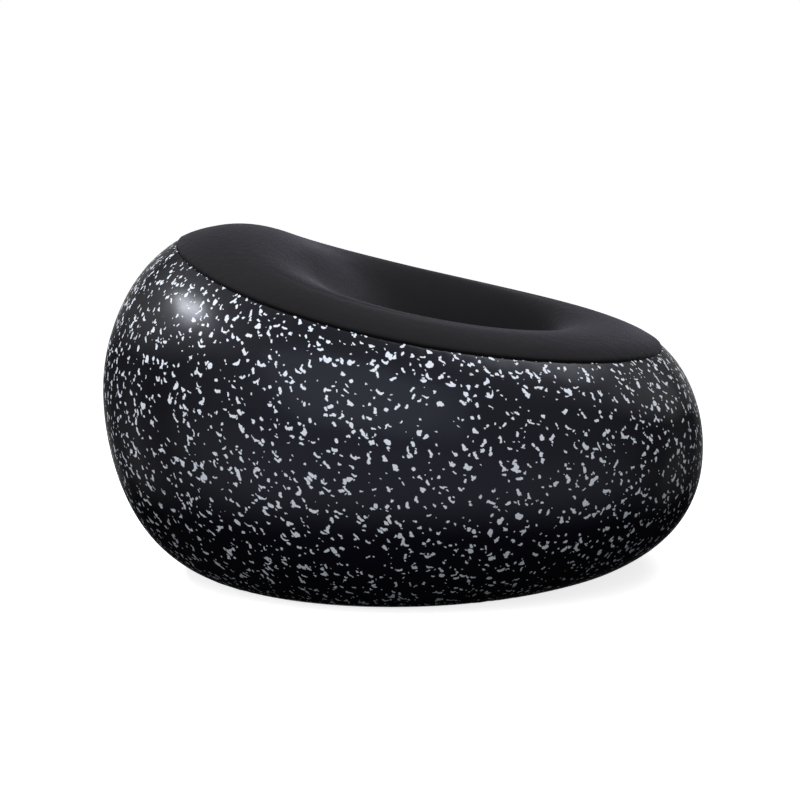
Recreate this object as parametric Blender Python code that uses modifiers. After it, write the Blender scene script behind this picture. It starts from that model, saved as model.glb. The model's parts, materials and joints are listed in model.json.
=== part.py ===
"""Inflatable lounge chair: a round air body with a raised back, a flocked top and a sunken seat.

The body is four welded sheets. The side panel is one strip whose ends butt at the back over a
tape. The flocked top panel runs from the top seam over the crest and down the wall of the bowl.
The seat floor closes the bowl, and the base panel closes the body. Each seam is a pair of fins
turned into the air chamber. Eight straps hold the seat floor down to the base panel. A screw
valve sits low at the back, on the left.

Units are metres. +X is the front, +Y the sitter's left, +Z up. The origin is on the floor, under
the middle of the body.
"""

from math import ceil, cos, pi, radians, sin, tau

import bmesh
import bpy
from mathutils import Matrix, Vector

# Sheets and clearances
FILM = 0.0004
FLOCKED_SHEET = 0.0009
GAP = 0.0003
FIN_WIDTH = 0.010
SEAM_DIP = 0.0025
SEAM_SHOULDER = 0.012

# Outside of the body: its widest ring, its flat base and its crest
BODY_RADIUS = 0.560
WIDEST_HEIGHT_FRONT = 0.239
WIDEST_HEIGHT_SIDE = 0.312
WIDEST_HEIGHT_BACK = 0.338
BASE_RADIUS_FRONT = 0.265
BASE_RADIUS_SIDE = 0.340
BASE_RADIUS_BACK = 0.328
CREST_RADIUS_FRONT = 0.348
CREST_RADIUS_SIDE = 0.384
CREST_RADIUS_BACK = 0.318
CREST_HEIGHT_FRONT = 0.468
CREST_HEIGHT_SIDE = 0.529
CREST_HEIGHT_BACK = 0.645

# Fullness of the rounded walls at the front, side and back: 1 is an ellipse, and more is squarer
LOWER_FULLNESS_SHARES = (1.150, 0.950, 1.050)
UPPER_FULLNESS_SHARES = (1.050, 0.935, 1.025)

# Seams, as degrees round the wall from the widest ring, up or down
TOP_SEAM_DEGREES_FRONT = 52.0
TOP_SEAM_DEGREES_SIDE = 57.5
TOP_SEAM_DEGREES_BACK = 65.5
BASE_SEAM_TILT = -radians(78.0)
JOINT_TAPE_WIDTH = 0.022
JOINT_TAPE_MARGIN = 0.006

# Bowl of the seat
BOWL_CENTRE = 0.142
BOWL_HALF_LENGTH = 0.155
BOWL_HALF_WIDTH = 0.231
BOWL_FLOOR_HEIGHT = 0.190
BOWL_FLOOR_CROWN = 0.030
BOWL_LIP_SHARES = (2.20, 0.56, 0.29)
BOWL_WALL_RISE_FRONT = 0.147
BOWL_WALL_RISE_SIDE = 0.204
BOWL_WALL_RISE_BACK = 0.386

# Straps between the seat seam and the base panel
STRAP_COUNT = 8
STRAP_WIDTH = 0.092
STRAP_NECK_SHARE = 0.28
STRAP_TAB = 0.020
STRAP_FOOT_CENTRE = 0.030
STRAP_FOOT_RADIUS = 0.200

# Screw valve: its place on the side panel, then its pieces from the panel outwards and inwards
VALVE_DEGREES = 150.0
VALVE_DROP_DEGREES = 38.0
FLANGE_RADIUS = 0.0290
FLANGE_THICKNESS = 0.0012
FLANGE_MARGIN = 0.0045
NECK_BORE_RADIUS = 0.0190
NECK_WALL = 0.0024
NECK_HEIGHT = 0.0035
NECK_DEPTH = 0.0100
SEAL_THICKNESS = 0.0016
SEAL_WIDTH = 0.0024
COLLAR_RADIUS = 0.0250
COLLAR_THICKNESS = 0.0036
COLLAR_ROUNDING = 0.0008
SKIRT_WALL = 0.0020
SKIRT_LENGTH = 0.0120
INLET_RADIUS = 0.0095
INLET_WALL = 0.0018
INLET_LENGTH = 0.0085
CAP_RADIUS = 0.0140
CAP_THICKNESS = 0.0022
CAP_ROUNDING = 0.0006
PLUG_LENGTH = 0.0050
PLUG_CLEARANCE = 0.0007
PLUG_TAPER = 0.0006
PLUG_WALL = 0.0012
PULL_TAB_WIDTH = 0.0070
PULL_TAB_REACH = 0.0045
HINGE_WIDTH = 0.0090
CAP_HINGE_REACH = 0.0024
CAP_PIN_RADIUS = 0.0009
FLAP_HINGE_REACH = 0.0020
FLAP_PIN_RADIUS = 0.0007
FLAP_OVERLAP = 0.0012
FLAP_THICKNESS = 0.0008
LUG_WIDTH = 0.0016
LUG_WALL = 0.0009
SUNK_DEPTH = 0.0010
CUT_OVERRUN = 0.0005
MERGE_DISTANCE = 0.00001

# Fineness of the faceting
SLOPE_NUDGE_DEGREES = 0.5
STEP_DEGREES = 7.6
WALL_STEP_DEGREES = 15.0
CREST_ROWS = 3
BOWL_ROWS = 7
FLOOR_RING_SHARES = (0.82, 0.45)
STRAP_ROWS = 4
STRAP_COLUMNS = 4
VALVE_SEGMENTS = 32
PIN_SEGMENTS = 12
SMOOTH_DEGREES = 35.0


def clear_scene():
    for item in list(bpy.data.objects):
        bpy.data.objects.remove(item)


def new_collection(name):
    collection = bpy.data.collections.new(name)
    bpy.context.scene.collection.children.link(collection)
    return collection


def new_material(name, colour, roughness, sheen=0.0):
    material = bpy.data.materials.new(name)
    material.use_nodes = True
    shader = material.node_tree.nodes["Principled BSDF"]
    shader.inputs["Base Color"].default_value = (*colour, 1.0)
    shader.inputs["Roughness"].default_value = roughness
    shader.inputs["Metallic"].default_value = 0.0
    shader.inputs["Sheen Weight"].default_value = sheen
    return material


clear_scene()
CHAIR = new_collection("inflatable_chair")
CUTTERS = new_collection("cutters")
PRINTED_FILM = new_material("printed_film", (0.020, 0.021, 0.026), 0.28)
FLOCK = new_material("flock", (0.034, 0.034, 0.038), 0.95, sheen=0.4)
PLAIN_FILM = new_material("plain_film", (0.018, 0.018, 0.020), 0.35)
STRAP_FILM = new_material("strap_film", (0.070, 0.072, 0.078), 0.45)
VALVE_PVC = new_material("valve_pvc", (0.028, 0.028, 0.031), 0.40)
SOFT_PVC = new_material("soft_pvc", (0.120, 0.120, 0.125), 0.45)
SEAL_RUBBER = new_material("seal_rubber", (0.012, 0.012, 0.012), 0.60)


def around(front, side, back, angle):
    """A size that passes smoothly from its front value, through its side value, to its back value."""
    forward = cos(angle)
    return side + (front - back) / 2 * forward + ((front + back) / 2 - side) * forward**2


def outside(angle, tilt):
    """(radius, height) on the rounded outside: tilt is -90 degrees at the base and 90 at the crest."""
    widest = around(WIDEST_HEIGHT_FRONT, WIDEST_HEIGHT_SIDE, WIDEST_HEIGHT_BACK, angle)
    if tilt < 0:
        inner = around(BASE_RADIUS_FRONT, BASE_RADIUS_SIDE, BASE_RADIUS_BACK, angle)
        front, side, back = LOWER_FULLNESS_SHARES
        fullness = around(front, side, back, angle)
        rise = -widest
    else:
        inner = around(CREST_RADIUS_FRONT, CREST_RADIUS_SIDE, CREST_RADIUS_BACK, angle)
        front, side, back = UPPER_FULLNESS_SHARES
        fullness = around(front, side, back, angle)
        rise = around(CREST_HEIGHT_FRONT, CREST_HEIGHT_SIDE, CREST_HEIGHT_BACK, angle) - widest
    power = 1 / fullness
    radius = inner + (BODY_RADIUS - inner) * max(cos(tilt), 0) ** power
    return Vector((radius, widest + rise * abs(sin(tilt)) ** power))


def slope(angle, tilt):
    """How fast the point on the outside moves, as (radius, height) for each radian of tilt."""
    nudge = radians(SLOPE_NUDGE_DEGREES)
    return (outside(angle, tilt + nudge) - outside(angle, tilt - nudge)) / (2 * nudge)


def top_seam_tilt(angle):
    seam = around(TOP_SEAM_DEGREES_FRONT, TOP_SEAM_DEGREES_SIDE, TOP_SEAM_DEGREES_BACK, angle)
    return radians(seam)


def placed(angle, point, centre=0.0):
    """The (radius, height) point in space, at this angle round an upright axis at x = centre."""
    return Vector((centre + point[0] * cos(angle), point[0] * sin(angle), point[1]))


def filled(stops, step):
    """The stops, with even steps no longer than step put between each pair."""
    values = [stops[0]]
    for start, end in zip(stops, stops[1:]):
        count = max(1, ceil((end - start) / step))
        values += [start + (end - start) * i / count for i in range(1, count + 1)]
    return values


def seam_edge(angle, tilt, side):
    """Edge of the panel above the seam (side 1) or below it (side -1): fin end, seam, shoulder."""
    speed = slope(angle, tilt)
    along = speed.normalized()
    inward = Vector((-along.y, along.x))
    seam = outside(angle, tilt) + along * side * GAP / 2 + inward * SEAM_DIP
    shoulder = outside(angle, tilt + side * SEAM_SHOULDER / speed.length)
    return [seam + inward * FIN_WIDTH, seam, shoulder]


def valve_cell():
    """The angles and tilts of the flat cell of the side panel that carries the valve flange."""
    angle, tilt = radians(VALVE_DEGREES), -radians(VALVE_DROP_DEGREES)
    reach = FLANGE_RADIUS + FLANGE_MARGIN
    tilt_reach = reach / slope(angle, tilt).length
    angle_reach = reach / outside(angle, tilt - tilt_reach).x
    return (angle - angle_reach, angle + angle_reach), (tilt - tilt_reach, tilt + tilt_reach)


CELL_ANGLES, CELL_TILTS = valve_cell()
TAPE_ANGLE = JOINT_TAPE_WIDTH / 2 / BODY_RADIUS
SLIT_ANGLE = GAP / 2 / BASE_RADIUS_BACK


def turn_angles(first, last):
    """Angles of the sheets' columns, with none inside the cell that carries the valve."""
    before = [first, TAPE_ANGLE - pi, -pi / 2, 0.0, pi / 2, CELL_ANGLES[0]]
    after = [CELL_ANGLES[1], pi - TAPE_ANGLE, last]
    return filled(before, radians(STEP_DEGREES)) + filled(after, radians(STEP_DEGREES))


RING_ANGLES = turn_angles(-pi, pi)[:-1]


def valve_site():
    """Middle of the flat cell and its frame: across, up along the panel, and out of the panel."""
    corners = [placed(a, outside(a, t)) for a in CELL_ANGLES for t in CELL_TILTS]
    middle = sum(corners, Vector()) / len(corners)
    out = (corners[3] - corners[0]).cross(corners[1] - corners[2]).normalized()
    if out.dot(middle) < 0:
        out.negate()
    across = Vector((0, 0, 1)).cross(out).normalized()
    return middle, Matrix((across, out.cross(across), out)).transposed()


VALVE_PLACE, VALVE_FRAME = valve_site()


def wall_tilts(angle):
    """Tilts of the side panel's rows between its shoulders, from the top one down."""
    step = radians(WALL_STEP_DEGREES)
    lower = filled([BASE_SEAM_TILT, CELL_TILTS[0]], step)[1:]
    lower += filled([CELL_TILTS[1], 0.0], step)
    upper_count = ceil(radians(TOP_SEAM_DEGREES_BACK) / step)
    upper = [top_seam_tilt(angle) * i / upper_count for i in range(1, upper_count)]
    return list(reversed(lower + upper))


def wall_profile(angle):
    """The side panel's outer face at one angle, as points in space from fin end to fin end."""
    points = [placed(angle, point) for point in seam_edge(angle, top_seam_tilt(angle), -1)]
    for tilt in wall_tilts(angle):
        point = placed(angle, outside(angle, tilt))
        if angle in CELL_ANGLES and tilt in CELL_TILTS:
            out = VALVE_FRAME.col[2]
            point -= out * (point - VALVE_PLACE).dot(out)
        points.append(point)
    base = seam_edge(angle, BASE_SEAM_TILT, 1)
    return points + [placed(angle, point) for point in reversed(base)]


def new_object(name, mesh, material, collection=CHAIR):
    item = bpy.data.objects.new(name, mesh)
    collection.objects.link(item)
    mesh.materials.append(material)
    return item


def loft(name, columns, material, thickness, closed=False, end_point=None):
    """A sheet over columns of points. Its outer face holds the points, and it is thick inwards.

    The columns run anticlockwise, seen from above, and each one runs down the outer face.
    """
    mesh = bpy.data.meshes.new(name)
    shape = bmesh.new()
    grid = [[shape.verts.new(point) for point in column] for column in columns]
    pairs = list(zip(grid, grid[1:]))
    if closed:
        pairs.append((grid[-1], grid[0]))
    centre = shape.verts.new(end_point) if end_point is not None else None
    for left, right in pairs:
        for i in range(len(left) - 1):
            shape.faces.new((left[i], left[i + 1], right[i + 1], right[i]))
        if centre is not None:
            shape.faces.new((left[-1], centre, right[-1]))
    shape.to_mesh(mesh)
    shape.free()
    sheet = new_object(name, mesh, material)
    mesh.shade_smooth()
    mesh.set_sharp_from_angle(angle=radians(SMOOTH_DEGREES))
    solidify = sheet.modifiers.new("Sheet thickness", "SOLIDIFY")
    solidify.thickness = thickness
    solidify.offset = -1
    solidify.use_even_offset = True
    return sheet


def make_side_panel():
    columns = [wall_profile(angle) for angle in turn_angles(SLIT_ANGLE - pi, pi - SLIT_ANGLE)]
    return loft("side_panel", columns, PRINTED_FILM, FILM)


def make_joint_tape():
    """The tape inside the side panel that backs the butt joint of its ends."""
    line = wall_profile(pi)[1:-1]
    line = [Vector((-point.x, point.z)) for point in line]
    line[0] += (line[1] - line[0]).normalized() * JOINT_TAPE_MARGIN
    line[-1] += (line[-2] - line[-1]).normalized() * JOINT_TAPE_MARGIN
    edges = [(end - start).normalized() for start, end in zip(line, line[1:])]
    sides = [Vector((edge.y, -edge.x)) for edge in edges]
    inner = []
    for point, before, after in zip(line, [sides[0], *sides], [*sides, sides[-1]]):
        inward = (before + after).normalized()
        inner.append(point + inward * (FILM + GAP) / inward.dot(before))
    turns = (-TAPE_ANGLE, 0.0, TAPE_ANGLE)
    columns = [[placed(pi + turn, point) for point in inner] for turn in turns]
    return loft("side_joint_tape", columns, PLAIN_FILM, FILM)


def seat_ring(angle, height, grow):
    """A point of the oval seat seam at this height, moved outwards by grow."""
    forward, left = cos(angle), sin(angle)
    point = Vector((BOWL_CENTRE + BOWL_HALF_LENGTH * forward, BOWL_HALF_WIDTH * left, height))
    normal = Vector((BOWL_HALF_WIDTH * forward, BOWL_HALF_LENGTH * left, 0)).normalized()
    return point + normal * grow


def bowl_wall(angle):
    """The bowl's wall at one angle, from the crest down to the seat seam."""
    front, side, back = BOWL_LIP_SHARES
    lip_share = around(front, side, back, angle)
    rise = around(BOWL_WALL_RISE_FRONT, BOWL_WALL_RISE_SIDE, BOWL_WALL_RISE_BACK, angle)
    crest = placed(angle, outside(angle, pi / 2))
    foot = seat_ring(angle, BOWL_FLOOR_HEIGHT, GAP / 2)
    lip = crest + Vector((foot.x - crest.x, foot.y - crest.y, 0)) * lip_share
    wall = foot + Vector((0, 0, rise))
    points = []
    for i in range(BOWL_ROWS + 1):
        share = i / BOWL_ROWS
        rest = 1 - share
        upper = rest**3 * crest + 3 * rest**2 * share * lip
        points.append(upper + 3 * rest * share**2 * wall + share**3 * foot)
    return points


def make_top_panel():
    """The ring from the top seam, over the crest, down to the seat seam, and its two fins."""
    columns = []
    for angle in RING_ANGLES:
        seam_tilt = top_seam_tilt(angle)
        column = [placed(angle, point) for point in seam_edge(angle, seam_tilt, 1)]
        for i in range(1, CREST_ROWS):
            tilt = seam_tilt + (pi / 2 - seam_tilt) * i / CREST_ROWS
            column.append(placed(angle, outside(angle, tilt)))
        column += bowl_wall(angle)
        column.append(column[-1] - Vector((0, 0, FIN_WIDTH)))
        column.reverse()
        columns.append(column)
    return loft("top_panel", columns, FLOCK, FLOCKED_SHEET, closed=True)


def make_seat_floor():
    """The crowned disc that closes the bowl, with its fin turned down inside the top panel's."""
    middle = Vector((BOWL_CENTRE, 0, BOWL_FLOOR_HEIGHT))
    columns = []
    for angle in reversed(RING_ANGLES):
        edge = seat_ring(angle, BOWL_FLOOR_HEIGHT, -GAP / 2)
        column = [edge - Vector((0, 0, FIN_WIDTH)), edge]
        for share in FLOOR_RING_SHARES:
            crown = Vector((0, 0, BOWL_FLOOR_CROWN * (1 - share**2)))
            column.append(middle.lerp(edge, share) + crown)
        columns.append(column)
    apex = middle + Vector((0, 0, BOWL_FLOOR_CROWN))
    return loft("seat_floor", columns, FLOCK, FLOCKED_SHEET, closed=True, end_point=apex)


def make_base_panel():
    """The bottom sheet: flat where it stands, turning up to the base seam round its edge."""
    columns = []
    for angle in RING_ANGLES:
        profile = seam_edge(angle, BASE_SEAM_TILT, -1)
        profile.append(outside(angle, (BASE_SEAM_TILT - pi / 2) / 2))
        profile.append(outside(angle, -pi / 2))
        columns.append([placed(angle, point) for point in profile])
    centre = Vector((0, 0, 0))
    return loft("base_panel", columns, PLAIN_FILM, FILM, closed=True, end_point=centre)


def make_strap(number):
    """A strap from the seat seam's fin to the base panel, with a welding tab at each end."""
    middle = tau * (number - 0.5) / STRAP_COUNT
    half_turn = STRAP_WIDTH / (BOWL_HALF_LENGTH + BOWL_HALF_WIDTH)
    bulge = BOWL_HALF_WIDTH * (1 / cos(half_turn / STRAP_COLUMNS) - 1)
    grow = GAP / 2 + FLOCKED_SHEET + GAP + bulge
    columns = []
    for i in range(STRAP_COLUMNS, -1, -1):
        across = 2 * i / STRAP_COLUMNS - 1
        column = [seat_ring(middle + half_turn * across, BOWL_FLOOR_HEIGHT, grow)]
        for j in range(STRAP_ROWS + 1):
            share = j / STRAP_ROWS
            narrowing = 1 - STRAP_NECK_SHARE * 4 * share * (1 - share)
            angle = middle + half_turn * narrowing * across
            head = seat_ring(angle, BOWL_FLOOR_HEIGHT - FIN_WIDTH, grow)
            foot = placed(angle, (STRAP_FOOT_RADIUS, FILM + GAP), STRAP_FOOT_CENTRE)
            column.append(head.lerp(foot, share))
        tab = (STRAP_FOOT_RADIUS + STRAP_TAB, FILM + GAP)
        column.append(placed(middle + half_turn * across, tab, STRAP_FOOT_CENTRE))
        columns.append(column)
    return loft(f"tie_strap_{number}", columns, STRAP_FILM, FILM)


# Heights of the valve's pieces above the side panel's outer face, along the valve's axis
FLANGE_FLOOR = GAP
FLANGE_TOP = FLANGE_FLOOR + FLANGE_THICKNESS
NECK_TOP = FLANGE_TOP + NECK_HEIGHT
SEAL_FLOOR = NECK_TOP + GAP
SEAL_TOP = SEAL_FLOOR + SEAL_THICKNESS
COLLAR_FLOOR = SEAL_TOP + GAP
COLLAR_TOP = COLLAR_FLOOR + COLLAR_THICKNESS
CAP_FLOOR = COLLAR_TOP + GAP
CAP_TOP = CAP_FLOOR + CAP_THICKNESS
TUBE_END = COLLAR_FLOOR - INLET_LENGTH
FLAP_TOP = TUBE_END - GAP
FLAP_FLOOR = FLAP_TOP - FLAP_THICKNESS

# Other sizes that the valve's pieces share
NECK_RADIUS = NECK_BORE_RADIUS + NECK_WALL
SKIRT_RADIUS = NECK_BORE_RADIUS - GAP
TUBE_RADIUS = INLET_RADIUS + INLET_WALL
FLAP_RADIUS = TUBE_RADIUS + FLAP_OVERLAP
LUG_INSIDE = HINGE_WIDTH / 2 + GAP
LUG_OUTSIDE = LUG_INSIDE + LUG_WIDTH
CAP_HINGE = Vector((0, CAP_RADIUS + CAP_HINGE_REACH, (CAP_FLOOR + CAP_TOP) / 2))
FLAP_HINGE = Vector((0, FLAP_RADIUS + FLAP_HINGE_REACH, (FLAP_FLOOR + FLAP_TOP) / 2))


def make_valve_axis():
    """The empty on the valve's axis: its +Z points out of the side panel."""
    axis = bpy.data.objects.new("valve_axis", None)
    CHAIR.objects.link(axis)
    axis.matrix_world = Matrix.Translation(VALVE_PLACE) @ VALVE_FRAME.to_4x4()
    return axis


VALVE_AXIS = make_valve_axis()


def outline_mesh(name, outline, closed=True):
    """The (radius, height) outline of a turned piece, as edges beside the valve's axis."""
    mesh = bpy.data.meshes.new(name)
    shape = bmesh.new()
    corners = [shape.verts.new((radius, 0, height)) for radius, height in outline]
    for start, end in zip(corners, corners[1:]):
        shape.edges.new((start, end))
    if closed:
        shape.edges.new((corners[-1], corners[0]))
    shape.to_mesh(mesh)
    shape.free()
    return mesh


def box_mesh(name, boxes):
    """Boxes that each run from a lowest corner to a highest one."""
    mesh = bpy.data.meshes.new(name)
    shape = bmesh.new()
    for low, high in boxes:
        size = Vector(high) - Vector(low)
        middle = (Vector(high) + Vector(low)) / 2
        matrix = Matrix.Translation(middle) @ Matrix.Diagonal((*size, 1))
        bmesh.ops.create_cube(shape, size=1, matrix=matrix)
    shape.to_mesh(mesh)
    shape.free()
    return mesh


def rod_mesh(name, rods, segments):
    """Round rods, each from a start point to an end point with its radius."""
    mesh = bpy.data.meshes.new(name)
    shape = bmesh.new()
    for start, end, radius in rods:
        line = Vector(end) - Vector(start)
        turn = line.to_track_quat("Z", "Y").to_matrix().to_4x4()
        bmesh.ops.create_cone(
            shape,
            cap_ends=True,
            segments=segments,
            radius1=radius,
            radius2=radius,
            depth=line.length,
            matrix=Matrix.Translation((Vector(start) + Vector(end)) / 2) @ turn,
        )
    shape.to_mesh(mesh)
    shape.free()
    return mesh


def turn_outline(item):
    screw = item.modifiers.new("Turn", "SCREW")
    screw.steps = VALVE_SEGMENTS
    screw.render_steps = VALVE_SEGMENTS
    screw.use_merge_vertices = True
    screw.merge_threshold = MERGE_DISTANCE


def valve_piece(name, mesh, material, origin=(0, 0, 0)):
    """A piece whose mesh is in the valve's own axes, with its origin on its joint's axis."""
    mesh.transform(Matrix.Translation(-Vector(origin)))
    item = new_object(name, mesh, material)
    item.parent = VALVE_AXIS
    item.location = origin
    return item


def combine(target, mesh, operation, turned=False):
    """Joins a shape in the valve's own axes to the target (UNION), or cuts it away (DIFFERENCE)."""
    helper = bpy.data.objects.new(mesh.name, mesh)
    CUTTERS.objects.link(helper)
    helper.parent = target
    helper.location = -target.location
    helper.hide_render = True
    helper.display_type = "WIRE"
    if turned:
        turn_outline(helper)
    boolean = target.modifiers.new(mesh.name, "BOOLEAN")
    boolean.operation = operation
    boolean.object = helper


def hinge_rod(name, hinge, radius, reach):
    """A rod across the valve on a hinge line, reaching as far to each side of the middle."""
    side = Vector((reach, 0, 0))
    return rod_mesh(name, [(hinge - side, hinge + side, radius)], PIN_SEGMENTS)


def lug_boxes(hinge, pin_radius, root):
    """Two lugs on a hinge line. They rise, or hang, from inside the collar at the root height."""
    half = pin_radius + GAP + LUG_WALL
    low = min(root, hinge.z - half)
    high = max(root, hinge.z + half)
    boxes = []
    for side in (-1, 1):
        ends = sorted((side * LUG_INSIDE, side * LUG_OUTSIDE))
        boxes.append(((ends[0], hinge.y - half, low), (ends[1], hinge.y + half, high)))
    return boxes


def make_valve_base():
    """The welded flange and the neck that the insert screws into."""
    outline = [
        (FLANGE_RADIUS, FLANGE_TOP),
        (FLANGE_RADIUS, FLANGE_FLOOR),
        (NECK_RADIUS, FLANGE_FLOOR),
        (NECK_RADIUS, -NECK_DEPTH),
        (NECK_BORE_RADIUS, -NECK_DEPTH),
        (NECK_BORE_RADIUS, NECK_TOP),
        (NECK_RADIUS, NECK_TOP),
        (NECK_RADIUS, FLANGE_TOP),
    ]
    turn_outline(valve_piece("valve_base", outline_mesh("valve_base", outline), VALVE_PVC))


def cut_valve_hole(side_panel):
    """The hole in the side panel that the neck passes through."""
    radius = NECK_RADIUS + GAP
    reach = FILM + GAP + CUT_OVERRUN
    ends = ((0, 0, -reach), (0, 0, reach), radius)
    hole = bpy.data.objects.new("valve_hole", rod_mesh("valve_hole", [ends], VALVE_SEGMENTS))
    CUTTERS.objects.link(hole)
    hole.parent = VALVE_AXIS
    hole.hide_render = True
    hole.display_type = "WIRE"
    boolean = side_panel.modifiers.new("valve_hole", "BOOLEAN")
    boolean.operation = "DIFFERENCE"
    boolean.object = hole


def make_valve_seal():
    outline = [
        (NECK_BORE_RADIUS + SEAL_WIDTH, SEAL_TOP),
        (NECK_BORE_RADIUS + SEAL_WIDTH, SEAL_FLOOR),
        (NECK_BORE_RADIUS, SEAL_FLOOR),
        (NECK_BORE_RADIUS, SEAL_TOP),
    ]
    turn_outline(valve_piece("valve_seal", outline_mesh("valve_seal", outline), SEAL_RUBBER))


def make_valve_insert():
    """The screw-in body: its collar, skirt and inlet tube, with lugs for the cap and the flap."""
    inner_skirt = SKIRT_RADIUS - SKIRT_WALL
    outline = [
        (COLLAR_RADIUS - COLLAR_ROUNDING, COLLAR_TOP),
        (COLLAR_RADIUS, COLLAR_TOP - COLLAR_ROUNDING),
        (COLLAR_RADIUS, COLLAR_FLOOR),
        (SKIRT_RADIUS, COLLAR_FLOOR),
        (SKIRT_RADIUS, COLLAR_FLOOR - SKIRT_LENGTH),
        (inner_skirt, COLLAR_FLOOR - SKIRT_LENGTH),
        (inner_skirt, COLLAR_FLOOR),
        (TUBE_RADIUS, COLLAR_FLOOR),
        (TUBE_RADIUS, TUBE_END),
        (INLET_RADIUS, TUBE_END),
        (INLET_RADIUS, COLLAR_TOP),
    ]
    insert = valve_piece("valve_insert", outline_mesh("valve_insert", outline), VALVE_PVC)
    turn_outline(insert)
    cap_lugs = lug_boxes(CAP_HINGE, CAP_PIN_RADIUS, COLLAR_TOP - SUNK_DEPTH)
    flap_lugs = lug_boxes(FLAP_HINGE, FLAP_PIN_RADIUS, COLLAR_FLOOR + SUNK_DEPTH)
    combine(insert, box_mesh("hinge_lugs", cap_lugs + flap_lugs), "UNION")
    reach = LUG_OUTSIDE + CUT_OVERRUN
    cap_hole = hinge_rod("cap_hinge_hole", CAP_HINGE, CAP_PIN_RADIUS + GAP, reach)
    combine(insert, cap_hole, "DIFFERENCE")
    flap_hole = hinge_rod("flap_hinge_hole", FLAP_HINGE, FLAP_PIN_RADIUS + GAP, reach)
    combine(insert, flap_hole, "DIFFERENCE")
    return insert


def make_valve_cap(insert):
    """The cap over the inlet: its disc and hollow plug, its pull tab and its hinge tongue."""
    rod = hinge_rod("valve_cap", CAP_HINGE, CAP_PIN_RADIUS, LUG_OUTSIDE)
    cap = valve_piece("valve_cap", rod, SOFT_PVC, CAP_HINGE)
    plug_radius = INLET_RADIUS - PLUG_CLEARANCE
    tip_radius = plug_radius - PLUG_TAPER
    outline = [
        (0, CAP_TOP),
        (CAP_RADIUS - CAP_ROUNDING, CAP_TOP),
        (CAP_RADIUS, CAP_TOP - CAP_ROUNDING),
        (CAP_RADIUS, CAP_FLOOR),
        (plug_radius, CAP_FLOOR),
        (tip_radius, CAP_FLOOR - PLUG_LENGTH),
        (tip_radius - PLUG_WALL, CAP_FLOOR - PLUG_LENGTH),
        (plug_radius - PLUG_WALL, CAP_FLOOR),
        (0, CAP_FLOOR),
    ]
    combine(cap, outline_mesh("cap_disc", outline, closed=False), "UNION", turned=True)
    overlap = CAP_RADIUS - CAP_ROUNDING - SUNK_DEPTH
    half = HINGE_WIDTH / 2
    tongue = ((-half, overlap, CAP_FLOOR), (half, CAP_HINGE.y, CAP_TOP - CAP_ROUNDING))
    half = PULL_TAB_WIDTH / 2
    end = -CAP_RADIUS - PULL_TAB_REACH
    pull_tab = ((-half, end, CAP_FLOOR), (half, -overlap, CAP_TOP - CAP_ROUNDING))
    combine(cap, box_mesh("cap_tabs", [tongue, pull_tab]), "UNION")
    cap.parent = insert


def make_check_flap(insert):
    """The flap that closes the inner end of the inlet tube and swings into the chamber."""
    rod = hinge_rod("check_flap", FLAP_HINGE, FLAP_PIN_RADIUS, LUG_OUTSIDE)
    flap = valve_piece("check_flap", rod, SOFT_PVC, FLAP_HINGE)
    disc = rod_mesh("flap_disc", [((0, 0, FLAP_FLOOR), (0, 0, FLAP_TOP), FLAP_RADIUS)], VALVE_SEGMENTS)
    combine(flap, disc, "UNION")
    half = HINGE_WIDTH / 2
    low = (-half, FLAP_RADIUS - FLAP_HINGE_REACH, FLAP_FLOOR)
    combine(flap, box_mesh("flap_web", [(low, (half, FLAP_HINGE.y, FLAP_TOP))]), "UNION")
    flap.parent = insert


cut_valve_hole(make_side_panel())
make_joint_tape()
make_top_panel()
make_seat_floor()
make_base_panel()
for number in range(1, STRAP_COUNT + 1):
    make_strap(number)
make_valve_base()
make_valve_seal()
valve_insert = make_valve_insert()
make_valve_cap(valve_insert)
make_check_flap(valve_insert)
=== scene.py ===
"""Inflatable lounge chair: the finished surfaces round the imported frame.

Units are metres. +X is the chair's front, +Y the sitter's left, +Z up. The skins are modelled afresh
from the same sizes as the frame's sheets, with finer faces, drawn-in seams and printed or flocked
finishes. They ride on the air body. The valve's pieces ride on the bodies of its joints.
"""

import json
from math import cos, pi, radians, sin, tau

import bmesh
import bpy
import numpy as np
from mathutils import Matrix, Vector

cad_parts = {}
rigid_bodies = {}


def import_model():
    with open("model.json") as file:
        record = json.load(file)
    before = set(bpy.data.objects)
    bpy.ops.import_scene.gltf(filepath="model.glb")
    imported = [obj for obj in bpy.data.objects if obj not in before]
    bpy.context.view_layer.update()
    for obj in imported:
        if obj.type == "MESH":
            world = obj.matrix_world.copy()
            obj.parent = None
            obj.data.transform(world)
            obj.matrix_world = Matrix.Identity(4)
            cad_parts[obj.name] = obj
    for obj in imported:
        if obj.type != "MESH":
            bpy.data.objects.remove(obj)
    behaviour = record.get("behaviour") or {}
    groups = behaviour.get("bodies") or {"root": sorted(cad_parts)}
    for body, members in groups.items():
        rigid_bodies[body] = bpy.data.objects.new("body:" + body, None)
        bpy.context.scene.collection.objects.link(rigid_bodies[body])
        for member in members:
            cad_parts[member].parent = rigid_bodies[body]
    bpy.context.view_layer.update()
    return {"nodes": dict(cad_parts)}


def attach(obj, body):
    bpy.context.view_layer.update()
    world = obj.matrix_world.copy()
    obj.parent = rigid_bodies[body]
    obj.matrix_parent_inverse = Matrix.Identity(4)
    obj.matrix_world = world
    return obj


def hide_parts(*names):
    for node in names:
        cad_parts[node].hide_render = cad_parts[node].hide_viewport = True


for item in list(bpy.data.objects):
    bpy.data.objects.remove(item)
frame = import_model()

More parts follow.
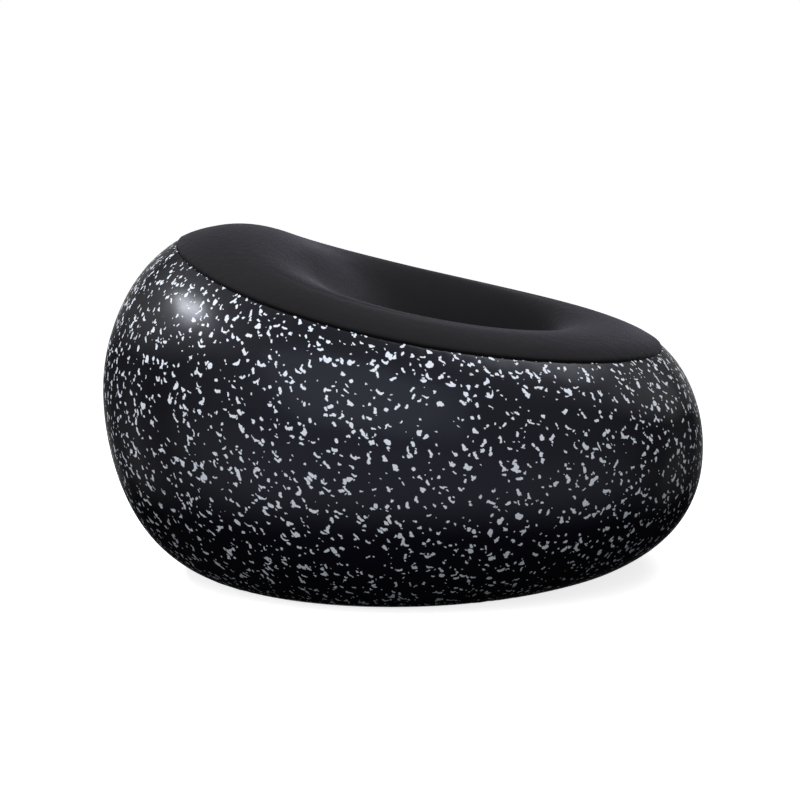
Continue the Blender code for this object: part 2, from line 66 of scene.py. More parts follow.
# Sizes of the body, each as its front, side and back value where it changes round the chair
BODY_RADIUS = 0.560
WIDEST_HEIGHTS = (0.239, 0.312, 0.338)
BASE_RADII = (0.265, 0.340, 0.328)
CREST_RADII = (0.348, 0.384, 0.318)
CREST_HEIGHTS = (0.468, 0.529, 0.645)
LOWER_FULLNESS_SHARES = (1.150, 0.950, 1.050)
UPPER_FULLNESS_SHARES = (1.050, 0.935, 1.025)
TOP_SEAM_DEGREES = (52.0, 57.5, 65.5)
BASE_SEAM_DEGREES = 78.0
BOWL_CENTRE = 0.142
BOWL_HALF_LENGTH = 0.155
BOWL_HALF_WIDTH = 0.231
BOWL_FLOOR_HEIGHT = 0.190
BOWL_FLOOR_CROWN = 0.030
BOWL_LIP_SHARES = (2.20, 0.56, 0.29)
BOWL_WALL_RISES = (0.147, 0.204, 0.386)
FILM = 0.0004
FLOCKED_SHEET = 0.0009
GAP = 0.0003
FIN_WIDTH = 0.010

# How the sheets draw in at their seams
SEAM_DIP = 0.0036
SEAM_SHOULDER = 0.0075
TOP_SWELL = 0.0030
TOP_SWELL_WIDTH = 0.070
PUCKER = 0.0009
PUCKER_REACH = 0.018
# Gathers: waves round the chair, phase, share of the height
PUCKER_WAVES = ((47, 0.9, 0.26), (61, 2.1, 0.22), (89, 5.2, 0.18), (137, 1.7, 0.18), (191, 3.3, 0.16))
# Each sheet's gathers: turn along the ring, share of the height
WALL_BASE_TURN = 1.0
RIM_PUCKERS = (0.004, 0.7)
BOWL_PUCKERS = (2.0, 0.6)
FLOOR_PUCKERS = (3.0, 0.6)

# Slow waves of the taut side wall: waves round the chair, waves down the wall, phase, height
WALL_WAVES = (
    (3, 0.8, 0.4, 0.0016),
    (5, 1.5, 2.6, 0.0014),
    (7, 1.0, 4.9, 0.0010),
    (11, 2.2, 1.3, 0.0007),
    (16, 1.4, 3.5, 0.0004),
)

# Butt joint of the side panel's ends, at the back
JOINT_TAPE_WIDTH = 0.022
JOINT_DIP = 0.0007
JOINT_GROOVE = 0.0030
JOINT_RIDGE_SHARE = 0.5
JOINT_RIDGE_WIDTH = 0.0015

# Inner straps of the frame
STRAP_COUNT = 8

# Valve: its middle on the side panel, the directions across, up and out, and its flat place
VALVE_PLACE = Vector((-0.4423066, 0.2553677, 0.1290704))
VALVE_ACROSS = Vector((-0.5067329, -0.8621031, 0.0))
VALVE_UP = Vector((-0.3967807, 0.2332225, 0.8877908))
VALVE_OUT = Vector((-0.7653672, 0.4498729, -0.4602474))
FLAT_RADIUS = 0.031
FLAT_EDGE_RADIUS = 0.062
NECK_HOLE_RADIUS = 0.0217

# Valve pieces: radii, then heights above the side panel's outer face along the valve's axis
FLANGE_RADIUS = 0.0290
NECK_RADIUS = 0.0214
NECK_BORE_RADIUS = 0.0190
SEAL_RADIUS = 0.0214
COLLAR_RADIUS = 0.0250
SKIRT_RADIUS = 0.0187
SKIRT_INNER_RADIUS = 0.0167
TUBE_RADIUS = 0.0113
INLET_RADIUS = 0.0095
CAP_RADIUS = 0.0140
PLUG_RADIUS = 0.0088
PLUG_TIP_RADIUS = 0.0082
PLUG_WALL = 0.0012
FLAP_RADIUS = 0.0125
FLANGE_FLOOR = 0.0003
FLANGE_TOP = 0.0015
NECK_TOP = 0.0050
NECK_END = -0.0100
SEAL_FLOOR = 0.0053
SEAL_TOP = 0.0069
COLLAR_FLOOR = 0.0072
COLLAR_TOP = 0.0108
SKIRT_END = -0.0048
TUBE_END = -0.0013
CAP_FLOOR = 0.0111
CAP_TOP = 0.0133
CAP_DOME = 0.0005
PLUG_END = 0.0061
FLAP_FLOOR = -0.0024
FLAP_TOP = -0.0016
CAP_HINGE = Vector((0, 0.0164, 0.0122))
FLAP_HINGE = Vector((0, 0.0145, -0.0020))
CAP_PIN_RADIUS = 0.0009
FLAP_PIN_RADIUS = 0.0007
HINGE_HALF_WIDTH = 0.0045
LUG_INSIDE = 0.0048
LUG_OUTSIDE = 0.0064
LUG_MARGIN = 0.0012
PULL_TAB_HALF_WIDTH = 0.0035
PULL_TAB_END = 0.0185
TAB_TOP = 0.0127
THREAD_PITCH = 0.0040
THREAD_HEIGHT = 0.00022
THREAD_WIDTH = 0.0014
GRIP_COUNT = 14
GRIP_RADIUS = 0.0018
GRIP_DEPTH_SHARE = 0.6
EDGE_ROUNDING = 0.0005
ROUNDED_SHARE = 0.45
TURN_SEGMENTS = 224
LUG_ARC_POINTS = 13
TAB_ARC_POINTS = 17
CIRCLE_POINTS = 20
MERGE_DISTANCE = 0.000001
SMALLEST_LENGTH = 1e-12

# Small forms of the valve's pieces. The flange's chamfer is how far in and how far down it goes,
# and the collar's are the upper one and the lower one.
FLANGE_CHAMFER = (0.0003, 0.0006)
COLLAR_CHAMFER = (0.0006, 0.0004)
# A groove's four corners: in from the flange's radius, and out from the cap's
FLANGE_GROOVE = (0.0042, 0.0038, 0.0028, 0.0024)
COLLAR_GROOVE = (0.0026, 0.0030, 0.0050, 0.0054)
GROOVE_DEPTH = 0.0004
FLANGE_EDGE = 0.0010
CAP_LUG_SINK = 0.0010
FLAP_LUG_SINK = 0.0005
SEAL_ROUNDING = 0.0007
SMALL_ROUNDING = 0.0003
FINE_ROUNDING = 0.0002
THREAD_SINK = 0.0003
THREAD_CREST_SHARE = 0.35
THREAD_STEPS = 120
THREAD_TAPER_STEPS = 20
# The cap's rim: how far in from its radius, and how far below its top
CAP_RIM = ((0.0006, 0.0002), (0.0000, 0.0009))
# Radius as a share of the cap's, height as a share of its dome
CAP_DOME_SHARES = ((0.0, 1.0), (0.35, 0.85), (0.62, 0.45), (0.66, 1.0), (0.74, 1.0), (0.78, 0.0))
TAB_OVERLAP = 0.0015
RIB_COUNT = 3
RIB_START = 0.0006
RIB_STEP = 0.0011
RIB_WIDTH = 0.0005
RIB_HEIGHT = 0.0003
RIB_SHARE = 0.6
KNUCKLE_MARGIN = 0.0002
PIN_OVERHANG = 0.0003
FLAP_WEB_OVERLAP = 0.0020
# Radius of the flap's middle boss as shares of its own, and the boss's height
FLAP_BOSS_SHARES = (0.55, 0.50, 0.42, 0.38)
FLAP_BOSS_HEIGHT = 0.0002
SHARP_DEGREES = 40.0
SEAL_SHARP_DEGREES = 60.0

# Fineness: columns round the chair, rows, and steps in metres from a seam, a joint or an end
COLUMNS = 720
CURVE_SAMPLES = 400
WALL_ROWS = 72
CROWN_ROWS = 84
FLOOR_ROWS = 26
BASE_ROWS = 10
SEAM_STEPS = (0.0, 0.0003, 0.0010, 0.0022, 0.0038, 0.0060, 0.0085, 0.0110, 0.0145, 0.0190, 0.0250)
BASE_STEPS = (0.0, 0.0010, 0.0038, 0.0085, 0.0145, 0.0250)
FLOOR_HUB_SHARE = 0.04
JOINT_STEPS = (0.0, 0.0006, 0.0014, 0.0024, 0.0036, 0.0060, 0.0095, 0.0110, 0.0125)
NECK_HOLE_SEGMENTS = 96
NECK_HOLE_DEPTH = 0.02

# Camera
CAMERA_DISTANCE = 4.5229
CAMERA_ELEVATION = radians(8.579)
CAMERA_AZIMUTH = radians(5.542)
CAMERA_TARGET = Vector((0.0, 0.0, 0.3))
CAMERA_LENS = 108.0
CAMERA_SENSOR = 36.0
CAMERA_SHIFT = (-0.005, 0.01075)

# Surroundings
WHITE = (1, 1, 1, 1)
AMBIENT = 0.08
FLOOR_SIZE = 400.0
FLOOR_DROP = 0.0005
# From, to, first strength and last strength
FLOOR_GLOW = (0.8, 5.0, 0.80, 0.96)
FLOOR_PALE = (0.80, 0.80, 0.80)
FLOOR_DULL = (0.05, 0.05, 0.05)
# Lamps: name, the place they point at, direction towards them, distance, width, height, power
LAMPS = (
    ("key", (-0.34, -0.35, 0.53), (-0.745, 0.270, 0.610), 2.6, 0.60, 0.24, 44.0),
    ("overhead", (0.1, -0.30, 0.45), (0.46, 0.34, 0.82), 2.2, 1.4, 1.4, 28.0),
    ("front", (0.0, -0.4, 0.3), (-0.10, -0.80, 0.58), 3.2, 4.2, 3.0, 122.0),
)

# Print: the map's name, the radius at which its angles become lengths, and the flecks' soft edge
PRINT_MAP = "print_map"
PRINT_RADIUS = 0.50
FLECK_EDGE = 0.00025
# How far a pattern shifts down the wall, as a share of its shift along it
FLECK_SHIFT_SHARE = 0.7
# Each as the part that varies, and the least value
FLECK_LENGTH_SHARES = (0.8, 0.2)
FLECK_WIDTH_SHARES = (0.7, 0.6)
# Cell, share of cells in use, radius, half length, bend for each metre, shift of the pattern
FLECK_LAYERS = (
    (0.0150, 0.36, 0.0012, 0.0006, 0.0, 0.13),
    (0.0190, 0.40, 0.0020, 0.0018, 40.0, 1.71),
    (0.0260, 0.62, 0.0023, 0.0044, 90.0, 3.37),
    (0.0420, 0.40, 0.0022, 0.0080, 70.0, 5.91),
    (0.0460, 0.40, 0.0038, 0.0030, 80.0, 7.43),
)
# Noise that makes the flecks uneven: its size, and how far it shifts the print
PRINT_WARPS = ((0.010, 0.0075), (0.0035, 0.0020))
NOISE_MIDDLE = (0.5, 0.5, 0.5)
# Distances from the seam at which the print starts and is complete
PRINT_MARGIN = (0.0012, 0.0024)

# Finishes. Own values are the shader's colour, roughness and gloss where no link is followed.
# Each gloss range is from, to, first value and last value, and each relief is strength and height.
FILM_OWN = ((0.005, 0.005, 0.007), 0.26, 0.07)
FILM_COLOURS = ((0.0026, 0.0026, 0.0046), (0.0050, 0.0050, 0.0082))
FILM_TONE_SIZE = 0.35
INK_COLOURS = ((0.62, 0.68, 0.78), (0.78, 0.82, 0.89))
INK_TONE_SIZE = 0.012
FILM_ROUGHNESS = 0.27
INK_EXTRA_ROUGHNESS = 0.12
FILM_WAVE_SIZE = 0.10
FILM_WAVE_HEIGHT = 0.0035
FILM_GLOSS = 0.082
FILM_HAZE = 0.085
FILM_HAZE_ROUGHNESS = 0.50
FILM_GLOSS_TINT = (0.62, 0.71, 1.0, 1)
FACING_BLEND = 0.5
GLOSS_BY_FACING = (0.12, 0.46, 1.0, 0.12)
GLOSS_BY_UPWARD = (0.22, 0.50, 0.0, 1.03)
GLOSS_AT_RIM = (0.40, 0.76, 1.0, 0.04)
GLOSS_BY_HEIGHT = (0.150, 0.245, 0.06, 1.0)

# Plain film
PLAIN_OWN = ((0.014, 0.014, 0.016), 0.34, 0.3)
# How far the grain raises it, and its least value
PLAIN_ROUGHNESS = (0.2, 0.26)
PLAIN_GRAIN = 0.004
PLAIN_RELIEF = (0.4, 0.0003)

# Flock
FLOCK_OWN = ((0.030, 0.030, 0.034), 0.95, 0.08)
FLOCK_COLOURS = ((0.0068, 0.0067, 0.0082), (0.0138, 0.0133, 0.0156))
FLOCK_TONE_SIZE = 0.18
FLOCK_TONE_SHARE = 0.6
SHEEN_WEIGHT = 0.132
SHEEN_ROUGHNESS = 0.27
SHEEN_TINT = (0.60, 0.585, 0.74, 1)
PILE_SIZE = 0.0009
PILE_RELIEF = (0.6, 0.0004)
BRUSHED_SIZE = 0.016
BRUSHED_RELIEF = (1.0, 0.0012)
# Painted shade: the flock's colour darkens at the welds, in the seams' creases: from, to, first share
# and last share
CREASE_SHADE_RANGE = (0.0010, 0.0040, 0.12, 1.0)

# Moulded pieces
MOULDED_SPECULAR = 0.4
MOULDED_GRAIN = 0.0006
MOULDED_TONE_SIZE = 0.008
MOULDED_RELIEF = (0.3, 0.0001)
# How far the tone raises it, and what it adds to the finish's own value
MOULDED_ROUGHNESS = (0.15, -0.08)
# Name, colour and roughness
STRAP_FINISH = ("strap_film_skin", (0.070, 0.072, 0.078), 0.45)
HARD_FINISH = ("valve_pvc_skin", (0.028, 0.028, 0.031), 0.40)
SOFT_FINISH = ("soft_pvc_skin", (0.120, 0.120, 0.125), 0.45)
RUBBER_FINISH = ("seal_rubber_skin", (0.012, 0.012, 0.012), 0.6)


def around(values, angle):
    """A size that passes smoothly from its front value, through its side value, to its back value."""
    front, side, back = values
    forward = np.cos(angle)
    return side + (front - back) / 2 * forward + ((front + back) / 2 - side) * forward**2


def outside(angle, tilt):
    """Points of the rounded outside: tilt is -90 degrees at the base and 90 at the crest."""
    low = tilt < 0
    widest = around(WIDEST_HEIGHTS, angle)
    inner = np.where(low, around(BASE_RADII, angle), around(CREST_RADII, angle))
    upper_share = around(UPPER_FULLNESS_SHARES, angle)
    share = np.where(low, around(LOWER_FULLNESS_SHARES, angle), upper_share)
    rise = np.where(low, -widest, around(CREST_HEIGHTS, angle) - widest)
    radius = inner + (BODY_RADIUS - inner) * np.maximum(np.cos(tilt), 0) ** (1 / share)
    height = widest + rise * np.abs(np.sin(tilt)) ** (1 / share)
    return placed(angle, radius, height)


def placed(angle, radius, height):
    """Points at an angle, a radius and a height round the chair's axis."""
    radius, height = np.broadcast_arrays(radius, height)
    return np.stack([radius * np.cos(angle), radius * np.sin(angle), height], axis=-1)


def top_seam_tilt(angle):
    """How far up the rounded outside the top seam lies, in radians."""
    return np.radians(around(TOP_SEAM_DEGREES, angle))


def between(start, end, count):
    """Values from start to end for each column, as (columns, count)."""
    share = np.linspace(0, 1, count)[None, :]
    return start[:, None] * (1 - share) + end[:, None] * share


def resampled(curves, first_steps, last_steps, rows):
    """Each column's curve at set distances from its ends, and evenly between them.

    Returns the points, and each point's distance from the curve's start and from its end.
    """
    steps = np.linalg.norm(np.diff(curves, axis=1), axis=2)
    along = np.concatenate([np.zeros((len(curves), 1)), np.cumsum(steps, axis=1)], axis=1)
    points, starts, ends = [], [], []
    for curve, at in zip(curves, along):
        length = at[-1]
        first = np.array(first_steps)
        last = length - np.array(last_steps)[::-1]
        middle = np.linspace(first[-1], last[0], rows + 2)[1:-1]
        wanted = np.concatenate([first, middle, last])
        points.append(np.stack([np.interp(wanted, at, curve[:, i]) for i in range(3)], axis=1))
        starts.append(wanted)
        ends.append(length - wanted)
    return np.array(points), np.array(starts), np.array(ends)


def normals(points, closed):
    """Unit normals of a grid whose columns run anticlockwise and down the outer face."""
    if closed:
        across = np.roll(points, -1, axis=0) - np.roll(points, 1, axis=0)
    else:
        across = np.gradient(points, axis=0)
    down = np.gradient(points, axis=1)
    normal = np.cross(down, across)
    return normal / np.maximum(np.linalg.norm(normal, axis=2, keepdims=True), SMALLEST_LENGTH)


def eased(value):
    """A smooth step from 0 to 1."""
    value = np.clip(value, 0, 1)
    return value * value * (3 - 2 * value)


def seam_fall(distance):
    """How far a sheet has turned in to its seam, from 1 at the seam to 0 at the shoulder."""
    share = np.clip(1 - distance / SEAM_SHOULDER, 0, 1)
    return 1 - np.sqrt(1 - share**2)


def puckers(angle, distance):
    """Short gathers across a seam, fading away from it."""
    wave = sum(share * np.sin(count * angle + phase) for count, phase, share in PUCKER_WAVES)
    return PUCKER * wave * np.exp(-distance / PUCKER_REACH)


def column_angles():
    """Angles of the ring's columns, from the back anticlockwise to the back."""
    return np.linspace(-pi, pi, COLUMNS, endpoint=False)


def sheet(name, points, material, thickness, closed, end_point=None, uv=None):
    """A sheet on a grid of points. Its outer face holds the points, and it is thick inwards."""
    columns, rows = points.shape[:2]
    vertices = [tuple(point) for point in points.reshape(-1, 3)]
    left = np.arange(columns if closed else columns - 1)
    right = (left + 1) % columns
    row = np.arange(rows - 1)
    corner = (left[:, None] * rows + row[None, :]).ravel()
    other = (right[:, None] * rows + row[None, :]).ravel()
    faces = np.stack([corner, corner + 1, other + 1, other], axis=1).tolist()
    if end_point is not None:
        vertices.append(tuple(end_point))
        foot = left * rows + rows - 1
        other_foot = right * rows + rows - 1
        faces += [[a, len(vertices) - 1, b] for a, b in zip(foot.tolist(), other_foot.tolist())]
    mesh = bpy.data.meshes.new(name)
    mesh.from_pydata(vertices, [], faces)
    if uv is not None:
        layer = mesh.uv_layers.new(name=PRINT_MAP)
        index = np.zeros(len(mesh.loops), dtype=np.int32)
        mesh.loops.foreach_get("vertex_index", index)
        layer.uv.foreach_set("vector", uv.reshape(-1, 2)[index].astype(np.float32).ravel())
    mesh.materials.append(material)
    mesh.shade_smooth()
    item = bpy.data.objects.new(name, mesh)
    bpy.context.scene.collection.objects.link(item)
    solidify = item.modifiers.new("Sheet thickness", "SOLIDIFY")
    solidify.thickness = thickness
    solidify.offset = -1
    solidify.use_even_offset = True
    return item


def flattened(points):
    """The side wall with its flat place round the valve."""
    offset = points - np.array(VALVE_PLACE)
    height = offset @ np.array(VALVE_OUT)
    side = np.hypot(offset @ np.array(VALVE_ACROSS), offset @ np.array(VALVE_UP))
    share = 1 - eased((side - FLAT_RADIUS) / (FLAT_EDGE_RADIUS - FLAT_RADIUS))
    share = np.where(np.abs(height) < FLAT_EDGE_RADIUS, share, 0)
    return points - (height * share)[..., None] * np.array(VALVE_OUT)


def with_fins(points, normal, first=True, last=True):
    """The grid with a fin turned straight in at its first row, its last row or both."""
    rows = [points]
    if first:
        rows.insert(0, points[:, :1] - normal[:, :1] * FIN_WIDTH)
    if last:
        rows.append(points[:, -1:] - normal[:, -1:] * FIN_WIDTH)
    return np.concatenate(rows, axis=1)


def wall_angles():
    """Angles of the side panel's columns, closer together at the butt joint."""
    half_slit = GAP / 2 / BODY_RADIUS
    near = np.array(JOINT_STEPS) / BODY_RADIUS + half_slit
    inner = np.linspace(near[-1] - pi, pi - near[-1], COLUMNS)[1:-1]
    return np.concatenate([near - pi, inner, pi - near[::-1]])


def make_side_panel(material):
    """The printed wall, from the top seam down to the base seam, open at its butt joint."""
    angle = wall_angles()
    base_seam = np.full_like(angle, -radians(BASE_SEAM_DEGREES))
    tilt = between(top_seam_tilt(angle), base_seam, CURVE_SAMPLES)
    curves = outside(np.repeat(angle[:, None], CURVE_SAMPLES, axis=1), tilt)
    points, from_top, from_base = resampled(curves, SEAM_STEPS, SEAM_STEPS, WALL_ROWS)
    normal = normals(points, closed=False)
    ring = angle[:, None]
    length = from_top + from_base
    share = from_top / length
    lift = puckers(ring, from_top) + puckers(ring + WALL_BASE_TURN, from_base)
    for count, down, phase, height in WALL_WAVES:
        wave = np.sin(count * ring + phase) * np.cos(down * tau * share + phase)
        lift += height * wave * np.sin(pi * share)
    lift -= SEAM_DIP * (seam_fall(from_top) + seam_fall(from_base))
    from_joint = (pi - np.abs(ring)) * BODY_RADIUS
    lift -= JOINT_DIP * (1 - eased(from_joint / JOINT_GROOVE))
    from_ridge = (from_joint - JOINT_TAPE_WIDTH / 2) / JOINT_RIDGE_WIDTH
    lift += JOINT_DIP * JOINT_RIDGE_SHARE * (1 - eased(from_ridge))
    points = flattened(points + normal * lift[..., None])
    uv = np.stack([np.broadcast_to(ring * PRINT_RADIUS, share.shape), -from_top], axis=-1)
    fin = with_fins(points, normal)
    uv = np.concatenate([uv[:, :1], uv, uv[:, -1:]], axis=1)
    panel = sheet("side_skin", fin, material, FILM, closed=False, uv=uv)
    cut_neck_hole(panel)
    return panel


def valve_frame():
    """The valve's own axes and place on the body."""
    turn = Matrix((VALVE_ACROSS, VALVE_UP, VALVE_OUT)).transposed().to_4x4()
    return Matrix.Translation(VALVE_PLACE) @ turn


def cut_neck_hole(panel):
    """The hole in the side panel that the valve's neck passes through, under its flange."""
    mesh = bpy.data.meshes.new("neck_hole")
    shape = bmesh.new()
    bmesh.ops.create_cone(
        shape,
        cap_ends=True,
        segments=NECK_HOLE_SEGMENTS,
        radius1=NECK_HOLE_RADIUS,
        radius2=NECK_HOLE_RADIUS,
        depth=NECK_HOLE_DEPTH,
    )
    shape.to_mesh(mesh)
    shape.free()
    cutter = bpy.data.objects.new("neck_hole", mesh)
    bpy.context.scene.collection.objects.link(cutter)
    cutter.matrix_world = valve_frame()
    cut = panel.modifiers.new("Neck hole", "BOOLEAN")
    cut.operation = "DIFFERENCE"
    cut.object = cutter
    bpy.context.view_layer.update()
    graph = bpy.context.evaluated_depsgraph_get()
    done = bpy.data.meshes.new_from_object(panel.evaluated_get(graph))
    panel.modifiers.clear()
    panel.data = done
    bpy.data.objects.remove(cutter)


def seat_ring(angle, grow, height):
    """Points of the oval seat seam, moved outwards by grow."""
    forward, left = np.cos(angle), np.sin(angle)
    normal = np.stack([BOWL_HALF_WIDTH * forward, BOWL_HALF_LENGTH * left], axis=-1)
    normal /= np.linalg.norm(normal, axis=-1, keepdims=True)
    x = BOWL_CENTRE + BOWL_HALF_LENGTH * forward + grow * normal[..., 0]
    y = BOWL_HALF_WIDTH * left + grow * normal[..., 1]
    return np.stack([x, y, np.broadcast_to(height, x.shape)], axis=-1)


def bowl_curves(angle, count):
    """The bowl's wall at each angle, from the crest down to the seat seam."""
    crest = outside(angle, np.full_like(angle, pi / 2))
    foot = seat_ring(angle, GAP / 2, BOWL_FLOOR_HEIGHT)
    inward = (foot - crest) * np.array([1, 1, 0])
    lip = crest + inward * around(BOWL_LIP_SHARES, angle)[:, None]
    rise = around(BOWL_WALL_RISES, angle)[:, None]
    wall = foot + rise * np.array([0, 0, 1])
    share = np.linspace(0, 1, count)[None, :, None]
    rest = 1 - share
    upper = rest**3 * crest[:, None] + 3 * rest**2 * share * lip[:, None]
    return upper + 3 * rest * share**2 * wall[:, None] + share**3 * foot[:, None]


def make_top_panel(material):
    """The flocked ring, from the seat seam up the bowl's wall and over to the top seam."""
    angle = column_angles()
    seam = top_seam_tilt(angle)
    tilt = between(seam, np.full_like(angle, pi / 2), CURVE_SAMPLES)
    rim = outside(np.repeat(angle[:, None], CURVE_SAMPLES, axis=1), tilt)
    curves = np.concatenate([rim, bowl_curves(angle, CURVE_SAMPLES)[:, 1:]], axis=1)
    points, from_seam, from_foot = resampled(curves, SEAM_STEPS, SEAM_STEPS, CROWN_ROWS)
    points, from_seam, from_foot = points[:, ::-1], from_seam[:, ::-1], from_foot[:, ::-1]
    normal = normals(points, closed=True)
    ring = angle[:, None]
    rim_turn, rim_share = RIM_PUCKERS
    bowl_turn, bowl_share = BOWL_PUCKERS
    lift = puckers(ring + rim_turn, from_seam) * rim_share
    lift += puckers(ring + bowl_turn, from_foot) * bowl_share
    swell = np.clip(from_seam / TOP_SWELL_WIDTH, 0, 1)
    lift += TOP_SWELL * (1 - swell) ** 2 * (1 + 2 * swell)
    lift -= (SEAM_DIP + TOP_SWELL) * seam_fall(from_seam) + SEAM_DIP * seam_fall(from_foot)
    points = points + normal * lift[..., None]
    to_weld = np.minimum(from_seam, from_foot)
    uv = np.stack([np.broadcast_to(ring * PRINT_RADIUS, to_weld.shape), to_weld], axis=-1)
    uv = np.concatenate([uv[:, :1], uv, uv[:, -1:]], axis=1)
    return sheet("top_skin", with_fins(points, normal), material, FLOCKED_SHEET, closed=True, uv=uv)


def make_seat_floor(material):
    """The flocked floor of the bowl, crowned in its middle."""
    angle = column_angles()[::-1]
    hub = np.full_like(angle, FLOOR_HUB_SHARE)
    share = between(np.ones_like(angle), hub, CURVE_SAMPLES)[..., None]
    apex = np.array([BOWL_CENTRE, 0, BOWL_FLOOR_HEIGHT])
    curves = apex + (seat_ring(angle, -GAP / 2, BOWL_FLOOR_HEIGHT)[:, None] - apex) * share
    curves[..., 2] += BOWL_FLOOR_CROWN * (1 - share[..., 0] ** 2)
    points, from_seam, _ = resampled(curves, SEAM_STEPS, (0.0,), FLOOR_ROWS)
    normal = normals(points, closed=True)
    normal *= np.sign(normal[..., 2:])
    turn, strength = FLOOR_PUCKERS
    lift = puckers(-angle[:, None] + turn, from_seam) * strength
    points = points + normal * lift[..., None]
    points = with_fins(points, np.broadcast_to([0, 0, 1.0], normal.shape), last=False)
    uv = np.stack([np.broadcast_to(angle[:, None] * PRINT_RADIUS, from_seam.shape), from_seam], axis=-1)
    uv = np.concatenate([uv[:, :1], uv], axis=1)
    uv = np.concatenate([uv.reshape(-1, 2), [[0, PRINT_RADIUS]]])
    apex[2] += BOWL_FLOOR_CROWN
    return sheet("seat_skin", points, material, FLOCKED_SHEET, closed=True, end_point=apex, uv=uv)


def make_base_panel(material):
    """The plain sheet that the chair stands on."""
    angle = column_angles()
    seam = np.full_like(angle, -radians(BASE_SEAM_DEGREES))
    tilt = between(seam, np.full_like(angle, -pi / 2), CURVE_SAMPLES)
    rim = outside(np.repeat(angle[:, None], CURVE_SAMPLES, axis=1), tilt)
    points, from_seam, _ = resampled(rim, BASE_STEPS, (0.0,), BASE_ROWS)
    normal = normals(points, closed=True)
    lift = -SEAM_DIP * seam_fall(from_seam)
    points = points + normal * lift[..., None]
    points[..., 2] = np.maximum(points[..., 2], 0)
    points = with_fins(points, normal, last=False)
    return sheet("base_skin", points, material, FILM, closed=True, end_point=(0, 0, 0))


def rounded(outline, radius, steps=4, closed=True):
    """The outline with each of its corners rounded by about this radius."""
    points = [np.array(point, float) for point in outline]
    result = []
    for i, corner in enumerate(points):
        if not closed and i in (0, len(points) - 1):
            result.append(corner)
            continue
        ends = []
        for side in (points[i - 1] - corner, points[(i + 1) % len(points)] - corner):
            length = np.linalg.norm(side)
            ends.append(corner + side * (min(radius, length * ROUNDED_SHARE) / length))
        start, end = ends
        for share in np.linspace(0, 1, steps + 1):
            result.append(start * (1 - share) ** 2 + corner * 2 * share * (1 - share) + end * share**2)
    return result


def valve_object(name, shape, material, sharp=SHARP_DEGREES):
    """A piece drawn in the valve's own axes, put in its place on the body."""
    bmesh.ops.remove_doubles(shape, verts=shape.verts, dist=MERGE_DISTANCE)
    bmesh.ops.recalc_face_normals(shape, faces=shape.faces)
    shape.transform(valve_frame())
    mesh = bpy.data.meshes.new(name)
    shape.to_mesh(mesh)
    shape.free()
    mesh.shade_smooth()
    mesh.set_sharp_from_angle(angle=radians(sharp))
    mesh.materials.append(material)
    item = bpy.data.objects.new(name, mesh)
    bpy.context.scene.collection.objects.link(item)
    return item


def add_turned(shape, outline, closed=True, reshape=None):
    """Adds an outline of (radius, height) points turned round the valve's axis."""
    angles = np.arange(TURN_SEGMENTS) * tau / TURN_SEGMENTS
    grid = []
    for angle in angles:
        column = []
        for radius, height in outline:
            if reshape is not None:
                radius = reshape(radius, height, angle)
            column.append(shape.verts.new((radius * cos(angle), radius * sin(angle), height)))
        grid.append(column)
    last = len(outline) if closed else len(outline) - 1
    for left, right in zip(grid, grid[1:] + grid[:1]):
        for i in range(last):
            j = (i + 1) % len(outline)
            shape.faces.new((left[i], left[j], right[j], right[i]))


def add_plate(shape, outline, axis, start, end):
    """Adds a plate: a closed outline of two coordinates, from start to end along the third axis."""

    def corner(point, depth):
        place = list(point)
        place.insert(axis, depth)
        return shape.verts.new(place)

    first = [corner(point, start) for point in outline]
    second = [corner(point, end) for point in outline]
    shape.faces.new(first)
    shape.faces.new(second)
    for i in range(len(outline)):
        j = (i + 1) % len(outline)
        shape.faces.new((first[i], first[j], second[j], second[i]))


def circle(middle, radius, count=CIRCLE_POINTS):
    """A circle's points, as two coordinates each."""
    angles = np.arange(count) * tau / count
    return [(middle[0] + radius * cos(a), middle[1] + radius * sin(a)) for a in angles]


def lug_outline(hinge, root, radius):
    """A lug seen from its side: round about the hinge line, with straight sides to its root."""
    sign = 1 if hinge.z > root else -1
    sweep = np.linspace(0, pi, LUG_ARC_POINTS)
    arc = [(hinge.y + radius * cos(a), hinge.z + sign * radius * sin(a)) for a in sweep]
    return [(hinge.y + radius, root), *arc, (hinge.y - radius, root)]


def add_lugs(shape, hinge, root, pin_radius):
    """Adds the two lugs that hold a hinge pin."""
    outline = lug_outline(hinge, root, pin_radius + LUG_MARGIN)
    for side in (-1, 1):
        add_plate(shape, outline, 0, side * LUG_INSIDE, side * LUG_OUTSIDE)


def gripped(radius, height, angle):
    """The collar's rim with a row of scooped grips."""
    if radius < SEAL_RADIUS or height < COLLAR_FLOOR:
        return radius
    step = tau / GRIP_COUNT
    offset = (angle / step - round(angle / step)) * step * COLLAR_RADIUS
    bite = max(0.0, GRIP_RADIUS**2 - offset**2) ** 0.5
    return radius - bite * GRIP_DEPTH_SHARE * (radius - SEAL_RADIUS) / (COLLAR_RADIUS - SEAL_RADIUS)


def groove(radii, top):
    """A shallow ring-shaped groove in a top face, at these four radii."""
    depths = (0, GROOVE_DEPTH, GROOVE_DEPTH, 0)
    return [(radius, top - depth) for radius, depth in zip(radii, depths)]


def slab(start, end, low, high, rounding, steps):
    """The rounded outline of a small slab, from start to end along y."""
    return rounded(((start, low), (start, high), (end, high), (end, low)), rounding, steps)


